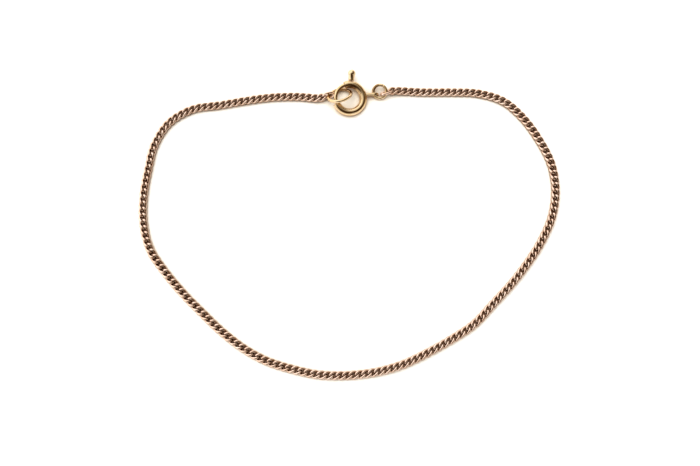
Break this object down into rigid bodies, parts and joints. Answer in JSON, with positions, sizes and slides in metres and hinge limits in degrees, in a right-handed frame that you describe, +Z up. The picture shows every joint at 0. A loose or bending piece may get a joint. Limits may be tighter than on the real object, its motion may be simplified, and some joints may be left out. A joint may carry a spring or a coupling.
{
  "type": "curb chain bracelet",
  "caption": "Fine curb chain bracelet fastened by a bolt ring clasp, lying on a table as a whole loop, with a sprung thumb bolt that opens the ring.",
  "frame": {"origin": "on the table, below the middle of the bracelet's box", "axes": "+X along the loop's long way, +Y from the wrist's middle towards the clasp, +Z up from the table"},
  "size_m": [0.0708, 0.0523, 0.0033],
  "materials": {
    "rose_gold_chain": "polished rose gold",
    "rose_gold_end_link": "polished rose gold",
    "yellow_gold_ring": "polished yellow gold",
    "yellow_gold_clasp": "polished yellow gold",
    "yellow_gold_bolt": "polished yellow gold"
  },
  "bodies": {
    "bracelet": {"curb_chain": "rose_gold_chain", "bolt_ring": "yellow_gold_clasp", "catch_ring": "yellow_gold_ring", "tag_jump_ring": "yellow_gold_ring", "catch_end_link": "rose_gold_end_link", "clasp_end_link": "rose_gold_end_link"},
    "bolt": {"thumb_bolt": "yellow_gold_bolt"}
  },
  "joints": [
    {"name": "thumb_bolt", "type": "hinge", "parent": "bracelet", "child": "bolt", "pos_m": [0, 0.02125, 0.00108], "axis": [-0.1325, 0.1372, -0.9816], "range_deg": [0, 48], "stiffness_Nm_per_rad": 0.0006, "springref_deg": -67.04}
  ]
}
